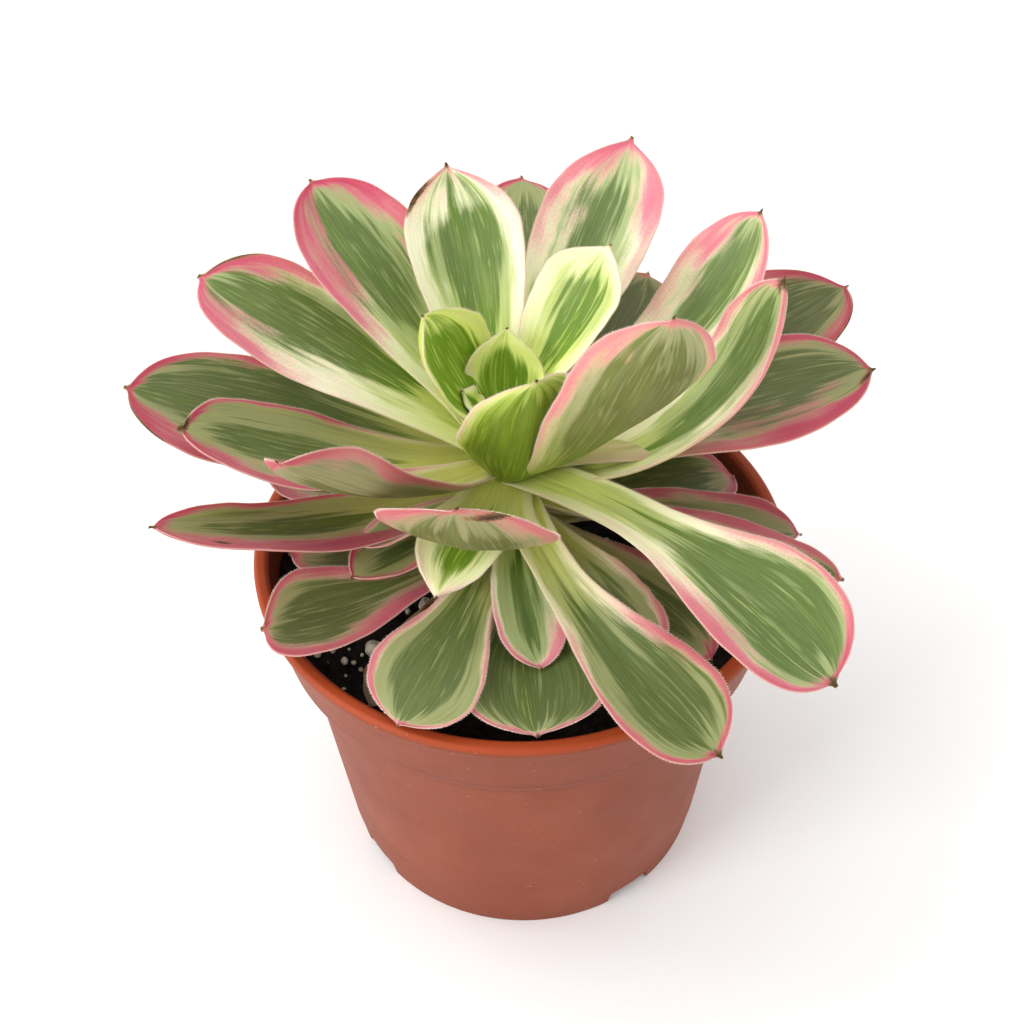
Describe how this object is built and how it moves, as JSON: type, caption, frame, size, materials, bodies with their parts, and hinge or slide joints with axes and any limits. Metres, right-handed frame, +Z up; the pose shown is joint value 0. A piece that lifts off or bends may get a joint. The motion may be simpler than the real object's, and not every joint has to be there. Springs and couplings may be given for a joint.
{
  "type": "potted succulent",
  "caption": "Variegated spoon-leaved rosette succulent, green and cream with pink margins, growing in soil in a round terracotta-coloured plastic nursery pot.",
  "frame": {"origin": "middle of the pot's foot, on the surface that the pot stands on", "axes": "+Z up, -Y toward the front that the picture shows, +X to the viewer's right"},
  "size_m": [0.1738, 0.1732, 0.1834],
  "materials": {
    "terracotta_plastic": "matte moulded plastic, terracotta colour",
    "potting_soil": "dark crumbly peat",
    "perlite": "chalky grain",
    "stem_skin": "smooth green stem skin",
    "leaf_outer": "waxy leaf, dark green streaks with pink margins",
    "leaf_inner": "waxy leaf, bright green streaks with cream margins",
    "leaf_dead": "dry papery brown"
  },
  "bodies": {
    "root": {"pot": "terracotta_plastic", "soil": "potting_soil", "stem": "stem_skin", "perlite_grain_1": "perlite", "perlite_grain_2": "perlite", "perlite_grain_3": "perlite", "perlite_grain_4": "perlite", "perlite_grain_5": "perlite", "dead_leaf": "leaf_dead", "lower_leaf_1": "leaf_outer", "lower_leaf_2": "leaf_outer", "lower_leaf_3": "leaf_outer", "lower_leaf_4": "leaf_outer", "lower_leaf_5": "leaf_outer", "lower_leaf_6": "leaf_outer", "lower_leaf_7": "leaf_outer", "lower_leaf_8": "leaf_outer", "lower_leaf_9": "leaf_outer", "lower_leaf_10": "leaf_outer", "lower_leaf_11": "leaf_outer", "lower_leaf_12": "leaf_outer", "lower_leaf_13": "leaf_outer", "lower_leaf_14": "leaf_outer", "lower_leaf_15": "leaf_outer", "small_leaf_1": "leaf_outer", "small_leaf_2": "leaf_outer", "small_leaf_3": "leaf_outer", "small_leaf_4": "leaf_outer", "outer_leaf_1": "leaf_outer", "outer_leaf_2": "leaf_outer", "outer_leaf_3": "leaf_outer", "outer_leaf_4": "leaf_outer", "outer_leaf_5": "leaf_outer", "outer_leaf_6": "leaf_outer", "outer_leaf_7": "leaf_outer", "outer_leaf_8": "leaf_outer", "outer_leaf_9": "leaf_outer", "outer_leaf_10": "leaf_outer", "inner_leaf_1": "leaf_inner", "inner_leaf_2": "leaf_inner", "inner_leaf_3": "leaf_inner", "inner_leaf_4": "leaf_inner", "inner_leaf_5": "leaf_inner", "inner_leaf_6": "leaf_inner", "inner_leaf_7": "leaf_inner", "inner_leaf_8": "leaf_inner", "heart_leaf_1": "leaf_inner", "heart_leaf_2": "leaf_inner", "heart_leaf_3": "leaf_inner", "heart_leaf_4": "leaf_inner", "heart_leaf_5": "leaf_inner"}
  },
  "joints": []
}
